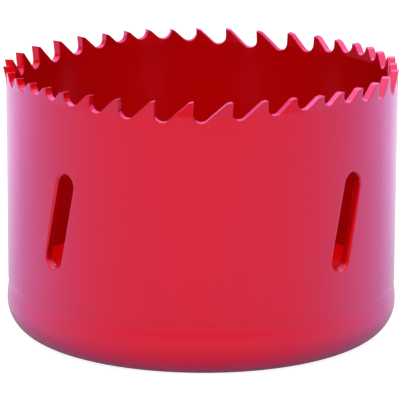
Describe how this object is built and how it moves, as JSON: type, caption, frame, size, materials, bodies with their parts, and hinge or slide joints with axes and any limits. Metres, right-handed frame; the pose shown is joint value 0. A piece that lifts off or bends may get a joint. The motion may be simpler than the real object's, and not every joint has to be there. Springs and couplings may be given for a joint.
{
  "type": "hole saw",
  "caption": "Cup-shaped hole saw: a ring of set, variable-pitch teeth on a thin slotted band, welded to a threaded base cap with drive-pin holes.",
  "frame": {"origin": "centre of the base cap's flat outside face, on the thread's axis, where the saw rests with its teeth up", "axes": "+Z along the thread's axis from the base towards the teeth, -Y towards the front, +X to the right of the front"},
  "size_m": [0.0646, 0.0644, 0.0443],
  "materials": {
    "red_paint": "gloss"
  },
  "bodies": {
    "root": {"toothed_band": "red_paint", "base_cap": "red_paint"}
  },
  "joints": []
}
